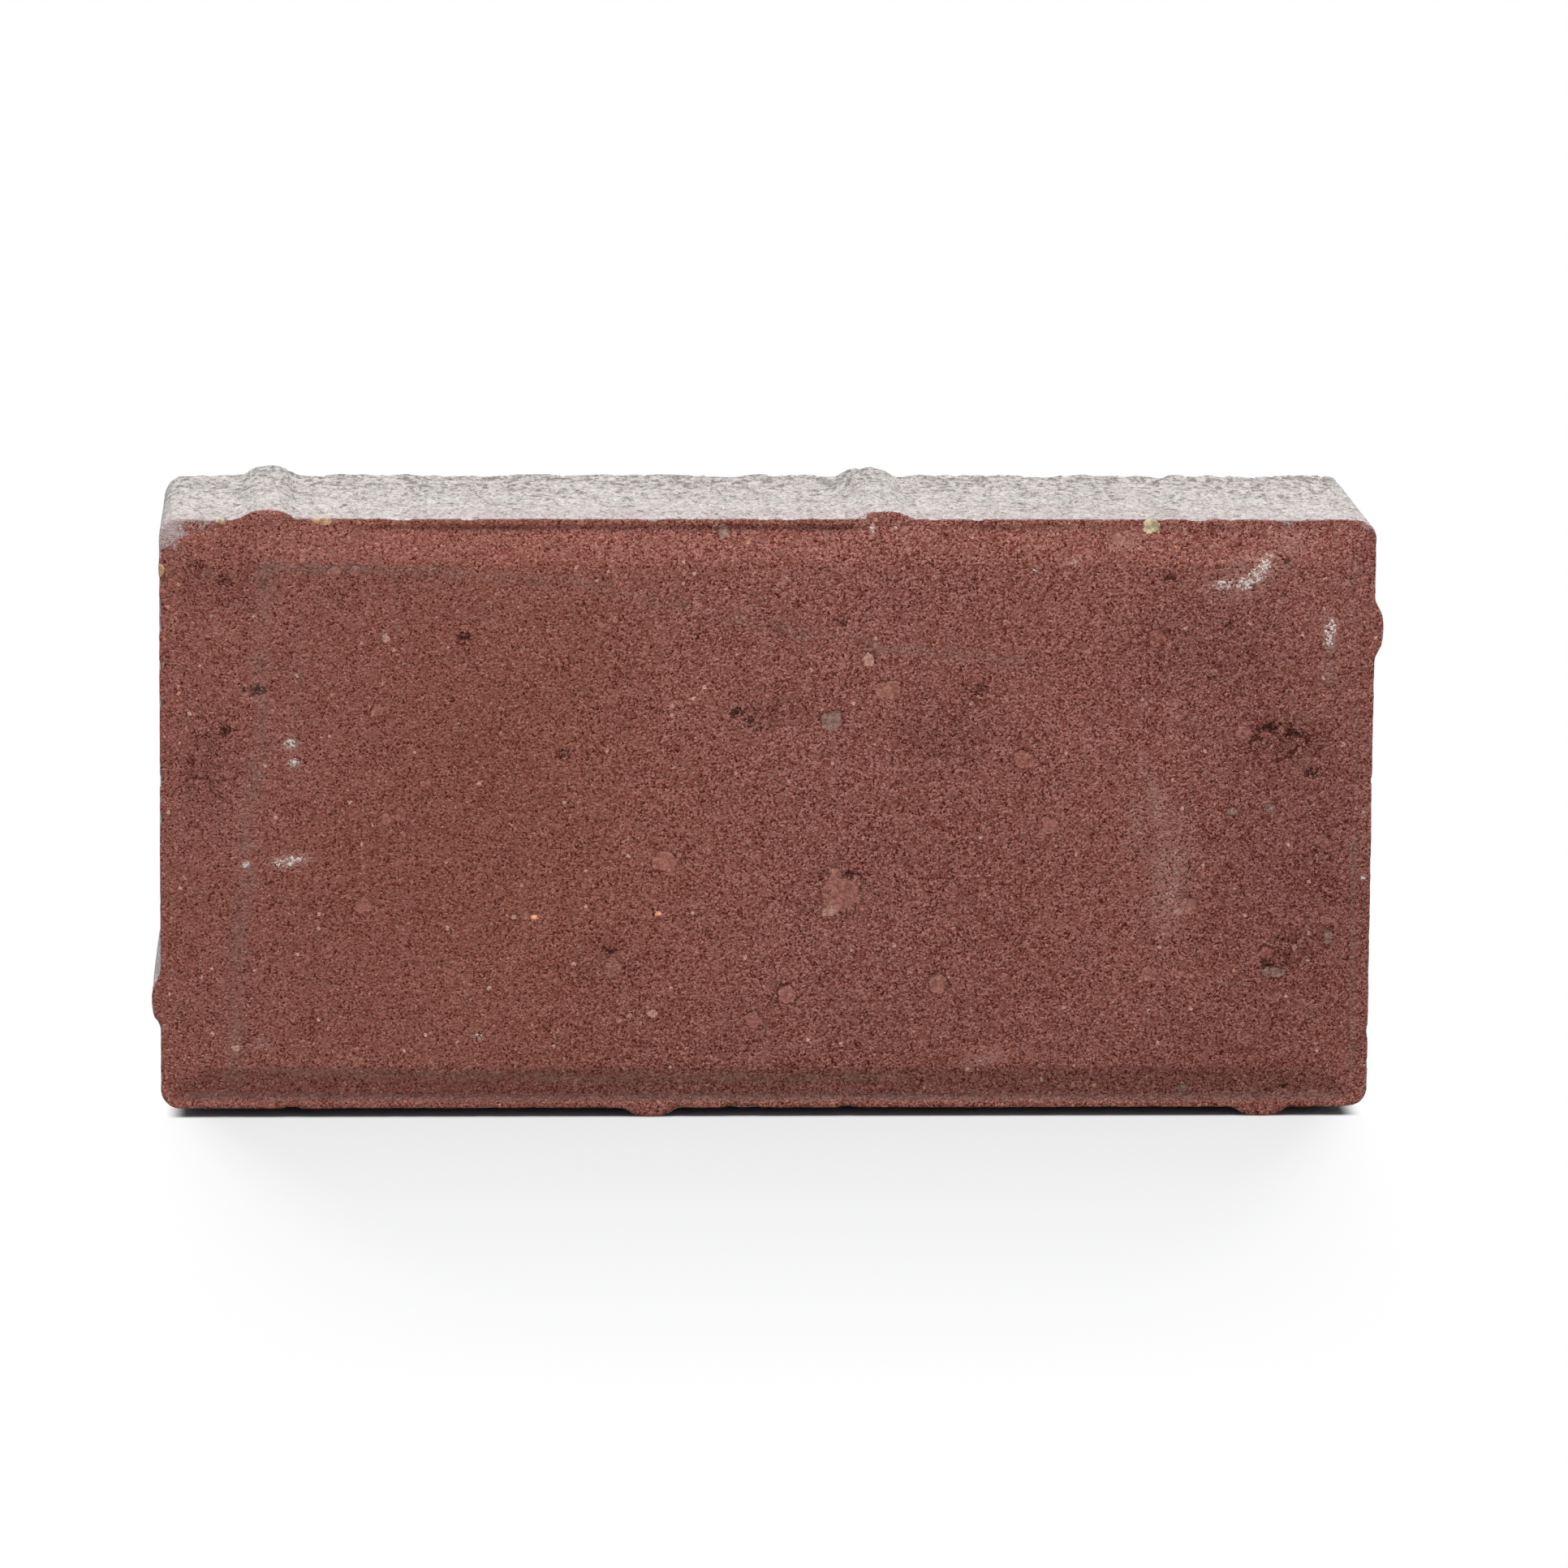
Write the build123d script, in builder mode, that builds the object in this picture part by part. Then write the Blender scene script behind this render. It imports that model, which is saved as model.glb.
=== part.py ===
"""Concrete paving stone, standing on one long side with its wearing face to the front.

The stone is pressed in a mould as one block. Its plan is a rounded rectangle with six spacer nibs that
run through the whole thickness. The nibs repeat after half a turn about the middle, so that stones laid
either way round keep the same joint.

X runs along the length, Y from the wearing face to the bedding face, and Z up. The origin is on the
floor under the middle. Sizes are in millimetres.
"""

from build123d import *
import os

# Block without its nibs: the height here is the width of the stone when it is laid.
body_length = 207.0
body_height = 102.0
body_thickness = 60.0

# Spacer nibs: a flat tip on two sloping flanks, rounded at tip and foot.
nib_reach = 1.5
nib_tip_width = 4.5
nib_flank_run = 3.0
nib_tip_radius = 2.0
nib_foot_radius = 2.0
nib_root = 1.0

# Places of the nibs on the long sides: one near the end, one past the middle.
outer_nib_from_end = 18.5
inner_nib_offset = 19.6

# Place of the nib on each end, from the long side that it is nearer to.
end_nib_from_side = 19.0

# Rim of mix that rises between the press shoe and the mould wall.
rim_width = 1.2
rim_flank = 0.4
rim_height = 0.6
rim_rounding = 0.35
shoe_corner_radius = 1.9

# Wearing face: a flat field inside a bevel that falls to the groove beside the rim.
bevel_width = 5.8
bevel_drop = 2.0
field_corner_radius = 1.0

# Edge of the bedding face, rounded by handling.
bed_edge_radius = 0.8

# The mould's corner has the same centre as the press shoe's corner.
corner_radius = shoe_corner_radius + rim_flank + rim_width
centre_height = nib_reach + body_height / 2

bed_plane = Plane(origin=(0, body_thickness / 2, centre_height), x_dir=(1, 0, 0), z_dir=(0, -1, 0))
field_plane = bed_plane.offset(body_thickness)
groove_plane = field_plane.offset(-bevel_drop)
crest_plane = groove_plane.offset(rim_height)

outer_nib_offset = body_length / 2 - outer_nib_from_end
end_nib_offset = body_height / 2 - end_nib_from_side
nib_places = [
    Location((-outer_nib_offset, body_height / 2, 0), (0, 0, 0)),
    Location((inner_nib_offset, body_height / 2, 0), (0, 0, 0)),
    Location((outer_nib_offset, -body_height / 2, 0), (0, 0, 180)),
    Location((-inner_nib_offset, -body_height / 2, 0), (0, 0, 180)),
    Location((body_length / 2, end_nib_offset, 0), (0, 0, -90)),
    Location((-body_length / 2, -end_nib_offset, 0), (0, 0, 90)),
]


def nib_section():
    """One nib in plan, standing on the X axis with its root below it."""
    tip = nib_tip_width / 2
    foot = tip + nib_flank_run
    lead = foot + nib_foot_radius
    with BuildSketch() as section:
        with BuildLine():
            FilletPolyline(
                (-lead, 0),
                (-foot, 0),
                (-tip, nib_reach),
                (tip, nib_reach),
                (foot, 0),
                (lead, 0),
                radius=[nib_foot_radius, nib_tip_radius, nib_tip_radius, nib_foot_radius],
            )
            Polyline((lead, 0), (lead, -nib_root), (-lead, -nib_root), (-lead, 0))
        make_face()
    return section.sketch


def shoe_outline(plane, inset, radius):
    """Plan of the press shoe on the given plane, drawn in from the sides of the block."""
    with BuildSketch(plane) as outline:
        RectangleRounded(body_length - 2 * inset, body_height - 2 * inset, radius)
    return outline.sketch


with BuildPart() as paving_stone:
    # Block as the mould shapes it, with its nibs
    nib = nib_section()
    with BuildSketch(bed_plane):
        RectangleRounded(body_length, body_height, corner_radius)
        with Locations(*nib_places):
            add(nib)
    extrude(amount=body_thickness - bevel_drop + rim_height)
    fillet(paving_stone.faces().sort_by(Axis.Y)[0].edges(), rim_rounding)
    fillet(paving_stone.faces().sort_by(Axis.Y)[-1].edges(), bed_edge_radius)

    # Hollow that the press shoe leaves inside the rim, down to the groove
    groove_inset = rim_width + rim_flank
    groove_line = shoe_outline(groove_plane, groove_inset, shoe_corner_radius)
    crest_line = shoe_outline(crest_plane, rim_width, shoe_corner_radius + rim_flank)
    loft([crest_line, groove_line], ruled=True, mode=Mode.SUBTRACT)

    # Wearing face, from the groove up the bevel to the field
    field_line = shoe_outline(field_plane, groove_inset + bevel_width, field_corner_radius)
    loft([groove_line, field_line], ruled=True)

paving_stone.part.label = "paving_stone"

os.makedirs("parts", exist_ok=True)
export_step(paving_stone.part, "parts/paving_stone.step")
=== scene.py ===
"""Pressed concrete paving stone, standing on its long side on a pale floor.

The block is modelled as it leaves the mould: a red wearing face with a bevel and a burr rim, pale sides
with six spacer nibs, and a rough bedding face at the back. Lengths are in metres, or in millimetres where
the name says so.
Places on the wearing face are in millimetres from its middle, x to the right and z up.
"""

import math

import bmesh
import bpy
import numpy as np
from bpy.props import FloatProperty, FloatVectorProperty, PointerProperty
from mathutils import Euler, Matrix, Vector, noise


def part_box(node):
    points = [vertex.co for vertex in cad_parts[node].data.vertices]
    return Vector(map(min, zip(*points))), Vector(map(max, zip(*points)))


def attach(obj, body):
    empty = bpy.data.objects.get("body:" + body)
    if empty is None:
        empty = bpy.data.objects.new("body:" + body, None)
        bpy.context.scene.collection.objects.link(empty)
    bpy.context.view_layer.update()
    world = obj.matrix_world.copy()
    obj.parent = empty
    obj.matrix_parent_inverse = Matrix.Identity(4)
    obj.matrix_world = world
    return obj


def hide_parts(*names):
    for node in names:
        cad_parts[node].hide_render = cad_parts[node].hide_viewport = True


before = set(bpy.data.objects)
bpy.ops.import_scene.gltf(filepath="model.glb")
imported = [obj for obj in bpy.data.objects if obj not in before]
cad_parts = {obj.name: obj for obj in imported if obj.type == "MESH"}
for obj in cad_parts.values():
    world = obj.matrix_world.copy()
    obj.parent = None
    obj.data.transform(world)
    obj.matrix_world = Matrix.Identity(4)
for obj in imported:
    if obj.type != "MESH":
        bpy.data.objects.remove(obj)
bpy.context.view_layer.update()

bl_info = {
    "name": "Pressed Paving Stone",
    "version": (1, 0, 0),
    "blender": (4, 5, 0),
    "location": "3D View > Sidebar > Paving Stone",
    "description": "Models a pressed concrete paving stone with a worn red face, and a pale stage for it",
    "category": "Add Mesh",
}

MM = 0.001
SOLID = "paving_stone"
PIECE = "pressed_stone"
LOWEST, HIGHEST = (Vector(corner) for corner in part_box(SOLID))

# How the wearing face is seen against its own plan: a little wider, leaning and lower
SEEN_WIDER = 1.004
SEEN_LEAN = 0.007
SEEN_LOWER_MM = 0.64

# Pebbles that show in the wearing face: x, z, width, height, tint, and how dark the painted shadow ring
# round each is
PEBBLES_MM = (
    (12.4, -13.6, 8, 7.8, "rose", 0.5),
    (-17.7, -8.3, 4.6, 4, "pink", 0.2),
    (10.8, 16, 4, 3.8, "grey", 0.6),
    (20.7, 21.3, 5, 3.4, "beige", 0.4),
    (17.2, 26.5, 2.6, 2.4, "pale", 0.3),
    (-26.6, -26.7, 3.8, 3.8, "beige", 0.3),
    (3.2, -31.5, 3.8, 3.8, "pink", 0.9),
    (29.2, -29.4, 3.8, 3.8, "beige", 0.7),
    (-2.4, -35.7, 3.6, 3.4, "rose", 0.5),
    (-7.5, 48.2, 2.8, 2.8, "grey", 0.5),
    (43.8, 9.2, 4, 3.8, "brick", 0.5),
    (66.5, 30.2, 3.4, 3, "brick", 0.5),
    (85.7, -24.3, 2.9, 2.9, "brick", 0.8),
    (-73.8, 41.4, 2.6, 2.4, "pink", 0.1),
    (-70.2, 41.7, 2.2, 2, "rose", 0.1),
    (-75.7, 50.2, 4, 2, "straw", 0.2),
    (-103.4, 41.6, 1.6, 2.6, "straw", 0),
    (65.6, 49.3, 3.4, 3.4, "lichen", 0.4),
    (-92.8, 49.9, 2.2, 1.6, "lichen", 0.2),
    (87, -27.6, 4.2, 2.2, "grey", 0.7),
    (90.6, -23.4, 1.2, 2, "pale", 0.4),
    (96.3, -21.5, 2, 3, "grey", 0.5),
    (96, -18.4, 2.2, 2.2, "pink", 0.5),
    (72.2, -16.1, 3.4, 3.2, "rose", 0.4),
    (81.6, 13.6, 3.6, 3.2, "rose", 0.5),
    (95.2, -4.9, 3.2, 2.6, "rose", 0.3),
    (65.6, -27.8, 3.2, 3, "rose", 0.6),
    (48.5, -2.1, 3.6, 3.2, "rose", 0.3),
    (-62.8, -0.1, 2.2, 3.6, "brick", 0.4),
    (-65.4, -0.9, 2.4, 2, "rose", 0.3),
    (-66.5, 17.7, 2.6, 2.4, "pink", 0.1),
    (-69.3, -15.7, 3.6, 2.8, "rose", 0.2),
    (-19.9, -34.7, 2.4, 1.8, "pale", 0.3),
    (-23.8, -35.1, 1.4, 1.1, "pale", 0.2),
    (10.6, -17, 3, 2.2, "pale", 0.2),
    (-91.1, -40.6, 1.8, 1.4, "pale", 0.3),
    (-65.1, 30.2, 1.7, 2.6, "pale", 0.3),
    (86, 0.8, 2.4, 2, "grey", 0.3),
    (79.6, 0.3, 2, 1.6, "grey", 0.3),
    (71.5, -48, 2.4, 1.6, "grey", 0.2),
    (-18.8, -17.3, 1.6, 1.1, "orange", 0),
    (-39.9, -17.9, 1.8, 1.1, "orange", 0),
    (-43.5, -17.9, 1.5, 1, "pale", 0),
    (-33.3, -26.1, 1.4, 1.1, "pale", 0),
    (70.5, -17.1, 2.4, 1.4, "pale", 0.2),
    (54.7, 44.9, 2, 1.8, "pink", 0.1),
    (59.9, 47, 3, 2.4, "rose", 0.1),
)

# Open holes in the wearing face, sunk in and painted dark as shade: x, z, width, height, depth
HOLES_MM = (
    (-51.8, 29.9, 2.2, 1.6, 0.9),
    (-87.4, 21.1, 3, 1.4, 0.8),
    (-5.3, 17.1, 1.8, 1.4, 0.8),
    (-3.1, 15.7, 1.8, 1.4, 0.8),
    (12.9, 32.9, 1.6, 1.2, 0.7),
    (68.4, 40.6, 2, 1.4, 0.9),
    (88.6, 42.8, 1.8, 1.4, 0.8),
    (78.9, 32.6, 1.6, 1.2, 0.7),
    (76.2, 23.2, 1.6, 1.4, 0.7),
    (36.4, 21.1, 2.4, 1.4, 0.9),
    (86, 14.6, 3.6, 1.6, 1.1),
    (90.6, 13.4, 3.4, 1.4, 1),
    (93.5, 6.7, 2.4, 1.2, 0.8),
    (-27.2, -23.9, 2.2, 0.9, 0.7),
    (88.9, -47.9, 1.8, 1, 0.7),
    (-97.2, 42, 1.8, 1.1, 0.9),
    (-92, 39.4, 2.2, 1.1, 1),
    (-96.7, 5.8, 2, 1.1, 0.8),
    (-92.5, 14.2, 1.8, 1.1, 0.8),
    (-34.9, 10, 1.8, 1.3, 0.7),
    (86.1, -26.6, 3.8, 1.2, 1),
    (88.5, -22.2, 1.6, 1.4, 0.9),
    (14.4, -10.8, 1.7, 1.4, 0.6),
)

# Chalky rubs on the wearing face: x, z, width, height, turn in degrees, strength
CHALK_MM = (
    (78, 39.3, 6.4, 2.6, 4, 0.90),
    (81.4, 39.5, 5, 3.4, 14, 0.95),
    (83.4, 40.6, 3.6, 3.6, 30, 1),
    (84.8, 42.4, 3.2, 5.8, -12, 1.05),
    (81.5, 40.4, 16, 9, 24, 0.40),
    (89, 45.8, 8, 6, 20, 0.40),
    (96.2, 31.2, 3, 7.4, 0, 0.90),
    (69, -11, 9, 26, -6, 0.44),
    (63, -2, 3, 14, 8, 0.40),
    (66.6, 1, 4, 18, 12, 0.42),
    (-81.6, -8.3, 8.4, 3, 6, 0.84),
    (-89.2, -8.8, 2.6, 1.8, 0, 0.9),
    (-81.5, 11.8, 3.8, 2.6, 20, 0.84),
    (-80.9, 8.7, 3, 2.4, 0, 0.80),
    (-49.9, -38.6, 2.8, 2, -30, 0.75),
    (-86.7, -39.9, 4, 2, -20, 0.6),
    (37.4, -42.9, 9, 2.4, 12, 0.45),
    (52.4, 43.4, 2.4, 1.6, 30, 0.8),
    (102.4, 0, 1.6, 1.4, 0, 0.9),
    (102.4, -11.5, 1.6, 1.4, 0, 0.9),
    (16.6, 50.2, 2, 1.6, 0, 1),
    (17.9, 48.6, 1.6, 2.4, 20, 0.95),
    (45.6, 41.7, 1.2, 1.4, 0, 1),
    (61, 46.6, 6, 5, 0, 0.35),
    (21.7, 48.9, 1.6, 1, 0, 0.8),
    (76.1, 45.6, 1.6, 1.2, 0, 0.6),
    (94.6, -40.9, 1.4, 1.2, 0, 0.6),
)

# Dried runs of cement water: the points that each passes through, its width and its strength
RUNS_MM = (
    (((-85, 42), (-86.5, 27), (-85.8, 12), (-88.6, 0), (-89.2, -12), (-91.6, -30),
      (-91, -46)), 3.2, 0.64),
    (((-92, -44), (-60, -45.4), (-30, -46.2), (20, -46)), 1.6, 0.7),
    (((-99, -49.4), (-30, -49.7), (60, -49.8), (99, -49.6)), 1.3, 0.95),
    (((100.7, -6), (101, -46)), 1, 0.9),
    (((-85, 42.2), (-69, 42)), 1.8, 1),
    (((-85, 42.6), (-60, 41.6), (-34, 40), (0, 32), (22, 28), (43, 26.5)), 2.2, 0.52),
    (((100.2, 44), (101, 10), (100.8, -6)), 1.2, 0.5),
    (((96.3, 29), (96.6, 22.5)), 2, 0.7),
    (((-80, 36), (-80.5, 5)), 2.4, 0.35),
)

# Looser, more open patches of the wearing face: x, z, width, height, strength
OPEN_MM = (
    (-92, 40, 30, 20, 0.4),
    (-70, 40, 40, 12, 0.3),
    (-95, 8, 20, 30, 0.45),
    (88, 12, 24, 12, 0.7),
    (76, 30, 44, 30, 0.35),
    (90, -24, 20, 16, 0.5),
    (0, 17, 26, 10, 0.4),
    (-28, -26, 24, 14, 0.35),
    (30, 14, 34, 24, 0.45),
    (30, -14, 90, 76, 0.22),
    (84, -10, 56, 96, 0.30),
)

# Broad shades of the wearing face, darker or, below 0, lighter: x, z, width, height, strength
SHADES_MM = (
    (-52, 10, 84, 84, 0.09),
    (-28, 24, 34, 26, 0.04),
    (92, -4, 44, 90, 0.14),
    (86, 16, 50, 40, 0.05),
    (76, 28, 50, 34, 0.09),
    (6, -40, 230, 34, 0.09),
    (-80, -20, 84, 56, 0.07),
    (78, -42, 60, 30, 0.13),
    (94, -18, 36, 56, 0.05),
    (-30, 46, 90, 20, -0.06),
    (60, 46, 70, 20, -0.05),
)

# Places along each side where the groove inside the rim is clean (1) or filled (0)
TOP_GROOVE_MM = ((-72, 0.05), (-66, 0.55), (-50, 0.75), (-20, 0.6), (0, 0.85), (13, 0.9),
                 (16.5, 0), (32, 0.1), (36, 0.5), (48, 0.3), (72, 0.15), (76, 0.5),
                 (82, 0.2), (104, 0.25))
LOW_GROOVE_MM = ((-104, 0.6), (-80, 0.8), (60, 0.8), (70, 0.5), (104, 0.5))
LEFT_GROOVE_MM = ((-51, 0.3), (20, 0.2), (51, 0))
RIGHT_GROOVE_MM = ((-44, 0.8), (-13, 0.8), (-8, 0.25), (51, 0.2))

# Corners where the pale mix shows through the red: x, z, size and strength
WORN_CORNERS_MM = (
    (-102.5, 49.5, 8, 0.65),
    (-95, 50.5, 5, 0.35),
    (-99, 42, 4, 0.22),
    (88.3, 51.2, 5.5, 0.38),
    (102, 50, 2.5, 0.4),
    (-20, 51, 2.5, 0.3),
)

# Colour of each kind of pebble, and how much of the red skin it shows through
PEBBLE_TINTS = {
    "rose": (0.310, 0.126, 0.100, 0.70),
    "pink": (0.320, 0.130, 0.104, 0.74),
    "beige": (0.320, 0.142, 0.106, 0.70),
    "grey": (0.245, 0.158, 0.130, 0.72),
    "brick": (0.280, 0.104, 0.082, 0.76),
    "straw": (0.47, 0.31, 0.17, 0.75),
    "lichen": (0.50, 0.44, 0.28, 0.80),
    "orange": (0.78, 0.36, 0.20, 0.95),
    "pale": (0.47, 0.26, 0.20, 0.75),
}

# Colours of the grains, lumps and chips that show in the red mix, of the painted shadow round pebbles, of
# the painted shade in crevices and holes, and of the chalk haze
PINK_GRAIN = (0.212, 0.104, 0.095)
BROWN_GRAIN = (0.212, 0.069, 0.040)
PALE_GRAIN = (0.52, 0.27, 0.21)
LUMPS = ((0.21, 0.092, 0.066), (0.28, 0.112, 0.088))
CHIPS = ((0.66, 0.28, 0.17), (0.60, 0.44, 0.38))
PEBBLE_SHADOW = (0.060, 0.014, 0.009)
CREVICE_SHADE = (0.055, 0.009, 0.004)
HOLE_SHADE = (0.050, 0.012, 0.008)
CHALK_HAZE = (0.45, 0.27, 0.225)

# Grains in each millimetre of the wearing face and of the sides, and how the mould wall draws these out
FACE_GRAINS = 3.0
SIDE_GRAINS = 1.9
SIDE_OPENNESS = 0.3
SIDE_DRAG = (1.0, 0.42, 1.0)

# How light the hollows and the tops of the grains are, as painted shade and painted highlight of their
# relief, and the darkest and the lightest grains of the red mix: the change towards the crisper part, and
# the level where it starts
GRAIN_LEVELS = ((-0.14, 0.71), (0.05, 1.31), (-0.15, 0.75), (0.12, 1.33))

# Grey of the floor in front of the stone: how far it reaches in millimetres and how deep it is
GREY_REACH_MM = 205.0
GREY_DEPTH = 0.37

# Browner part of the wearing face: x, z, width and height
BROWN_MM = (-48.0, -4.0, 42.0, 46.0)

# Where the crisper grain sets in, from the left, and where the pale sides turn grey, from the front
CRISP_MM = (-55.0, -5.0)
GREYING_MM = (-26.0, -12.0)

# How far the pale skin reaches in over the rim, and how far behind the rim it is whole
PALE_OVER_RIM = 0.6 * MM
PALE_BEHIND = 1.8 * MM

# Gaps between the mesh rings of the sides next to the front edge and next to the back edge
NEAR_GAPS_MM = (0.45, 0.6, 0.8, 1.0, 1.2, 1.4, 1.6)
BACK_GAPS_MM = (0.8, 1.0, 1.2, 1.6)

# Mesh lines on the bevel, and how near to a plane a point counts as on it
BEVEL_LINES = 8
ON_PLANE = 0.1 * MM

# Noise patterns of the relief and of the colours: size of their features in millimetres, octaves and seed
PATTERNS = {
    "uneven": (17.0, 1, 1),
    "grain": (1.5, 3, 2),
    "lumps": (3.4, 4, 3),
    "crumbs": (7.0, 3, 4),
    "broad": (42.0, 2, 5),
    "fine": (7.0, 4, 6),
    "bits": (2.4, 3, 7),
}

# Depth of the relief in the looser patches and on the rim
OPEN_RELIEF = 0.5 * MM
RIM_RELIEF = 0.35 * MM

# How far the coarser pores and the crumbled edge reach from the back, and how far in the edge crumbles
PORES_REACH = 16.0 * MM
CRUMBLE_REACH = 4.0 * MM
CRUMBLE_INWARDS = 5.0 * MM


def length_setting(title, description, metres, least=0.0):
    """Setting for a length."""
    return FloatProperty(name=title, description=description, default=metres, min=least,
                         precision=6, unit="LENGTH")


def angle_setting(title, description, degrees):
    """Setting for an angle."""
    return FloatProperty(name=title, description=description, default=math.radians(degrees),
                         precision=4, subtype="ANGLE", unit="ROTATION")


def colour_setting(title, description, *colour):
    """Setting for a colour."""
    return FloatVectorProperty(name=title, description=description, default=colour,
                               size=3, min=0.0, max=1.0, subtype="COLOR")


class MouldSizes(bpy.types.PropertyGroup):
    """Sizes of the mould and of the mesh that is pressed in it."""

    nib_reach: length_setting("Nib reach", "How far a spacer nib stands off the side", 1.5 * MM)
    nib_tip: length_setting("Nib tip", "Width of the flat tip of a nib", 4.5 * MM)
    nib_run: length_setting("Nib flank", "Width of each sloping flank of a nib", 3.0 * MM, 0.1 * MM)
    outer_nib: length_setting(
        "Outer nib", "Place of the nib near the end of a long side, from its middle", 85.0 * MM)
    inner_nib: length_setting(
        "Inner nib", "Place of the nib just past the middle of a long side", 19.6 * MM)
    end_nib: length_setting("End nib", "Place of the nib on a short side, from its middle", 32.0 * MM)
    corner_radius: length_setting(
        "Corner radius", "Radius of the mould's corners in plan", 3.5 * MM, 0.1 * MM)
    rim_width: length_setting(
        "Rim width", "Width of the burr that rises beside the press shoe", 1.2 * MM, 0.1 * MM)
    rim_flank: length_setting(
        "Rim flank", "Width of the rim's slope down to the groove", 0.4 * MM, 0.05 * MM)
    rim_height: length_setting("Rim height", "Height of the rim over the groove", 0.6 * MM)
    rim_rounding: length_setting(
        "Rim rounding", "Rounding of the outer edge of the rim", 0.35 * MM, 0.05 * MM)
    bevel_width: length_setting(
        "Bevel width", "Width of the bevel round the wearing face", 5.8 * MM, 0.1 * MM)
    bevel_drop: length_setting("Bevel drop", "Fall of the bevel from the field to the groove", 2.0 * MM)
    bed_edge: length_setting("Bed edge", "Rounding of the edge of the bedding face", 0.8 * MM, 0.1 * MM)
    face_step: length_setting(
        "Face step", "Size of the mesh squares on the wearing face", 0.65 * MM, 0.3 * MM)
    side_step: length_setting(
        "Side step", "Spacing of the mesh rings along the thickness", 2.0 * MM, 0.5 * MM)
    bed_step: length_setting(
        "Bed step", "Size of the mesh squares on the bedding face", 2.0 * MM, 0.5 * MM)


class SurfaceSettings(bpy.types.PropertyGroup):
    """Relief and colours of the two mixes."""

    face_unevenness: length_setting(
        "Face unevenness", "Depth of the slow waves of the wearing face", 0.12 * MM)
    face_grain: length_setting(
        "Face grain", "Depth of the grain that the mesh of the wearing face carries", 0.12 * MM)
    side_roughness: length_setting(
        "Side roughness", "Depth of the dragged texture of the sides", 0.30 * MM)
    edge_crumble: length_setting(
        "Edge crumble", "How much has crumbled off the edge of the bedding face", 1.0 * MM)
    grain_bump: length_setting("Grain bump", "Depth of the fine grain in the material", 0.42 * MM)
    red_mix: colour_setting(
        "Red mix", "Colour of the wearing face where it leans to brown", 0.2250, 0.0664, 0.0456)
    purple_mix: colour_setting(
        "Purple mix", "Colour of the wearing face where it leans to purple", 0.2250, 0.0716, 0.0560)
    grey_mix: colour_setting("Grey mix", "Colour of the cement skin on the sides", 0.515, 0.483, 0.468)
    pale_pink: colour_setting(
        "Pale pink", "Colour of the cement skin beside the wearing face", 0.51, 0.447, 0.438)
    # Painted shade inside the pores and crevices of the sides
    pore_shade_grey: colour_setting(
        "Hole grey", "Colour inside the open pores of the grey mix", 0.19, 0.165, 0.135)
    chalk: colour_setting("Chalk", "Colour of the chalky rubs", 0.72, 0.62, 0.58)
    cement_film: colour_setting(
        "Cement film", "Colour of the dried cement water on the wearing face", 0.225, 0.165, 0.135)


class StageSettings(bpy.types.PropertyGroup):
    """Camera, lamp and floor."""

    lens: FloatProperty(
        name="Lens", description="Focal length in millimetres on a 36 mm sensor", default=215.7, min=1.0)
    distance: length_setting("Distance", "Distance from the camera to the wearing face", 1.6, 0.1)
    elevation: angle_setting("Elevation", "Height of the camera over the horizon", 9.42)
    azimuth: angle_setting("Azimuth", "Turn of the camera to the left of the wearing face", 2.63)
    roll: angle_setting("Roll", "Turn of the camera about its own axis", 0.41)
    aim_right: length_setting(
        "Aim to the right", "Where the camera looks, right of the middle of the face", 2.74 * MM, -0.1)
    aim_up: length_setting(
        "Aim up", "Where the camera looks, over the middle of the face", 5.55 * MM, -0.1)
    lamp_strength: FloatProperty(
        name="Lamp", description="Strength of the overhead lamp", default=3.4, min=0.0)
    lamp_elevation: angle_setting(
        "Lamp elevation", "Height of the lamp, 90 degrees being straight overhead", 66.0)
    lamp_spread: angle_setting("Lamp spread", "How wide the lamp looks from the stone", 30.0)
    sky_strength: FloatProperty(
        name="Sky", description="Strength of the even light from all round", default=0.5, min=0.0)
    floor_size: length_setting("Floor size", "Length of each side of the floor", 8.0, 0.5)
    floor_colour: colour_setting("Floor colour", "Colour of the floor", 0.385, 0.393, 0.41)


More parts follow.
